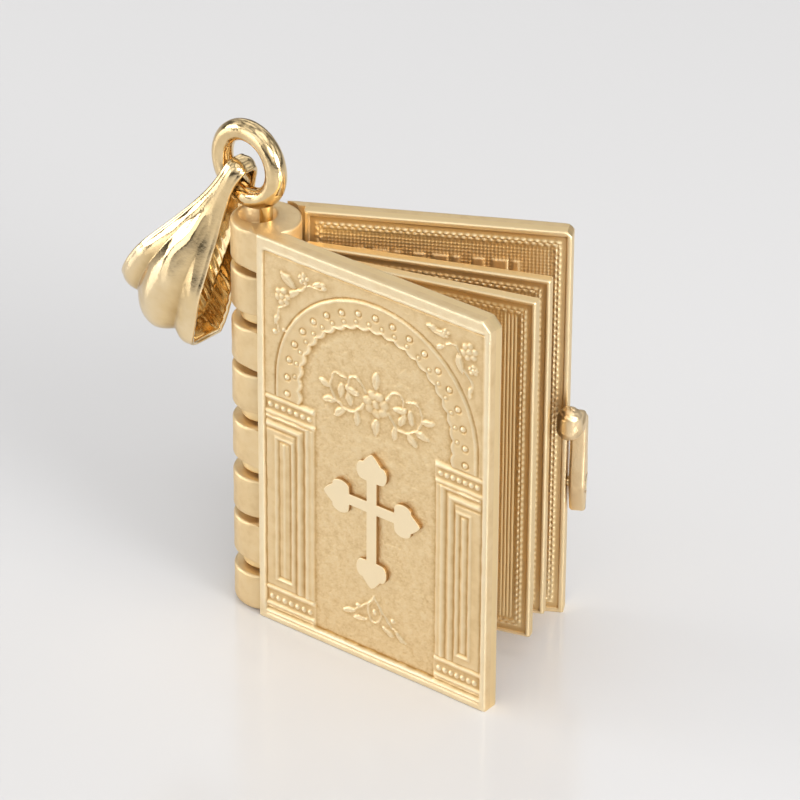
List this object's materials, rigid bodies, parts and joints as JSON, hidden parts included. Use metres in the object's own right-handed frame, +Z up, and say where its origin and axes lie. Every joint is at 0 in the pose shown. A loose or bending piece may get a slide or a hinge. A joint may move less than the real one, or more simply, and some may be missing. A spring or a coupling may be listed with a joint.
{
  "type": "book charm pendant",
  "caption": "Hinged gold book charm that stands ajar, with cast relief on its front, two inner leaves, a swivel ball latch, a jump ring and a lobed bail.",
  "frame": {"origin": "middle of the whole object's footprint, on the surface that the open book stands on", "axes": "+Z up along the hinge pin, +X from the spine to the fore-edge along the back cover, -Y towards the front cover"},
  "size_m": [0.0194, 0.011, 0.0219],
  "materials": {
    "satin_gold": "cast 14-carat yellow gold, satin",
    "milled_gold": "cast 14-carat yellow gold, milled grid",
    "polished_gold": "polished 14-carat yellow gold"
  },
  "bodies": {
    "back": {"back_cover": "satin_gold", "hinge_pin": "polished_gold"},
    "leaf_two": {"leaf_two": "milled_gold"},
    "leaf_one": {"leaf_one": "milled_gold"},
    "front": {"front_cover": "satin_gold"},
    "latch": {"latch": "polished_gold"},
    "bail": {"bail": "polished_gold"}
  },
  "joints": [
    {"name": "leaf_two_turn", "type": "hinge", "parent": "back", "child": "leaf_two", "pos_m": [-0.00326, 0.00163, 0.009], "axis": [0, 0, -1], "range_deg": [-7, 30]},
    {"name": "leaf_one_turn", "type": "hinge", "parent": "leaf_two", "child": "leaf_one", "pos_m": [-0.00326, 0.00163, 0.009], "axis": [0, 0, -1], "range_deg": [-6, 30]},
    {"name": "front_turn", "type": "hinge", "parent": "leaf_one", "child": "front", "pos_m": [-0.00326, 0.00163, 0.009], "axis": [0, 0, -1], "range_deg": [-15.5, 90]},
    {"name": "latch_swing", "type": "hinge", "parent": "back", "child": "latch", "pos_m": [0.00937, 0.00268, 0.0062], "axis": [1, 0, 0], "range_deg": [0, 90]},
    {"name": "bail_swing", "type": "hinge", "parent": "back", "child": "bail", "pos_m": [-0.00402, 0.00213, 0.02001], "axis": [0.5446, 0.8387, 0], "range_deg": [0, 200]}
  ]
}
